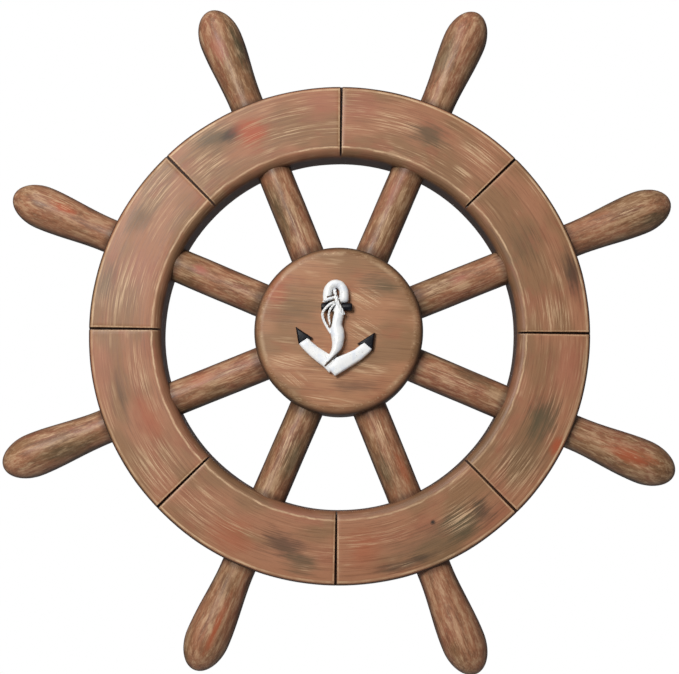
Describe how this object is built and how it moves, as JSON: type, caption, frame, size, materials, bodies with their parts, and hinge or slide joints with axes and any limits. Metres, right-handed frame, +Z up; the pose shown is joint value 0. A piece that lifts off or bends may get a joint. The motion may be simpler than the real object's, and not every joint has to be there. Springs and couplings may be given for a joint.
{
  "type": "ship steering wheel",
  "caption": "Wooden spoked ship's wheel: a ring of dowelled felloes, turned spokes with hand grips and a round hub with an anchor, turning on a wall-mounted spindle.",
  "frame": {"origin": "centre of the wall plate's back face, where the wheel's axis meets the wall", "axes": "+Y along the wheel's axis into the wall, so the wheel's front looks along -Y; +Z up; +X to the right seen from the front"},
  "size_m": [0.4238, 0.0662, 0.4238],
  "materials": {
    "rim_wood": "satin brown paint, rubbed through at the edges",
    "spoke_wood": "satin brown paint, rubbed through in streaks",
    "hub_wood": "satin brown paint, brushed across",
    "dowel_wood": "bare beech",
    "brass": "turned, satin",
    "steel": "turned",
    "plate_paint": "satin black",
    "white_resin": "semi-gloss white paint",
    "navy_resin": "semi-gloss navy paint"
  },
  "bodies": {
    "wall_mount": {"wall_plate": "plate_paint", "spindle": "steel", "thrust_washer": "steel"},
    "wheel": {"felloe_dowels": "dowel_wood", "hub": "hub_wood", "hub_flange": "brass", "flange_screws": "brass", "retaining_screw": "steel", "anchor_body": "white_resin", "anchor_flukes": "navy_resin", "anchor_stock": "navy_resin", "anchor_shackle": "white_resin", "anchor_rope": "white_resin", "felloe_1": "rim_wood", "spoke_1": "spoke_wood", "felloe_2": "rim_wood", "spoke_2": "spoke_wood", "felloe_3": "rim_wood", "spoke_3": "spoke_wood", "felloe_4": "rim_wood", "spoke_4": "spoke_wood", "felloe_5": "rim_wood", "spoke_5": "spoke_wood", "felloe_6": "rim_wood", "spoke_6": "spoke_wood", "felloe_7": "rim_wood", "spoke_7": "spoke_wood", "felloe_8": "rim_wood", "spoke_8": "spoke_wood"}
  },
  "joints": [
    {"name": "wheel_spin", "type": "hinge", "parent": "wall_mount", "child": "wheel", "pos_m": [0, -0.0398, 0], "axis": [0, 1, 0], "continuous": true}
  ]
}
